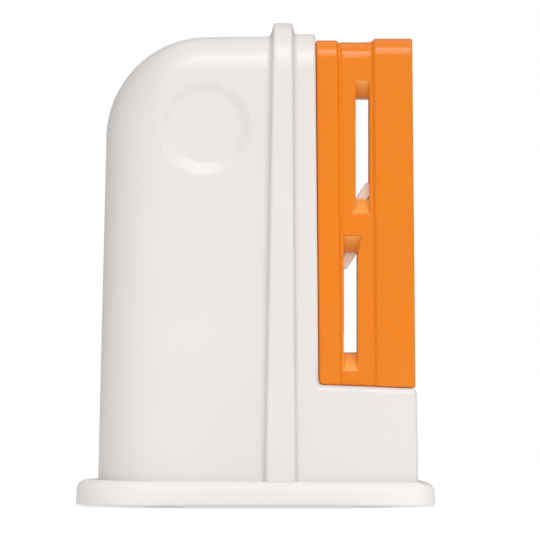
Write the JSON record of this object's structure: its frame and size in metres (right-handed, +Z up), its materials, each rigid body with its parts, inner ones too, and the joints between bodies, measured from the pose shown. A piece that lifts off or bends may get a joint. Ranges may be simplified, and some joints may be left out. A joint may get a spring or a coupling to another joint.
{
  "type": "scissors sharpener",
  "caption": "Upright hand-held scissors sharpener: hollow rounded grip with guard rib and finger recess on a flanged base, and a lift-out cartridge with ceramic stones across its blade slots.",
  "frame": {"origin": "middle of the bounding box at the underside of the feet", "axes": "+Z up, +X to the right as seen from the front, from the grip towards the cartridge, and the front faces -Y"},
  "size_m": [0.1032, 0.057, 0.1388],
  "materials": {
    "white_plastic": "fine satin moulded texture",
    "orange_plastic": "semi-gloss moulded",
    "ceramic_stone": "fine abrasive, unglazed",
    "screw_steel": "zinc plated",
    "foot_rubber": "matte"
  },
  "bodies": {
    "housing": {"housing_shell": "white_plastic", "base_plate": "white_plastic", "base_screw_1": "screw_steel", "base_screw_2": "screw_steel", "base_screw_3": "screw_steel", "base_screw_4": "screw_steel", "foot_1": "foot_rubber", "foot_2": "foot_rubber", "foot_3": "foot_rubber", "foot_4": "foot_rubber"},
    "cartridge": {"cartridge_front": "orange_plastic", "cartridge_rear": "orange_plastic", "stone_upper": "ceramic_stone", "stone_lower": "ceramic_stone", "cartridge_screw_1": "screw_steel", "cartridge_screw_2": "screw_steel", "cartridge_screw_3": "screw_steel", "cartridge_screw_4": "screw_steel"}
  },
  "joints": [
    {"name": "cartridge_slide", "type": "slide", "parent": "housing", "child": "cartridge", "axis": [0, 0, 1], "range_m": [0, 0.106]}
  ]
}
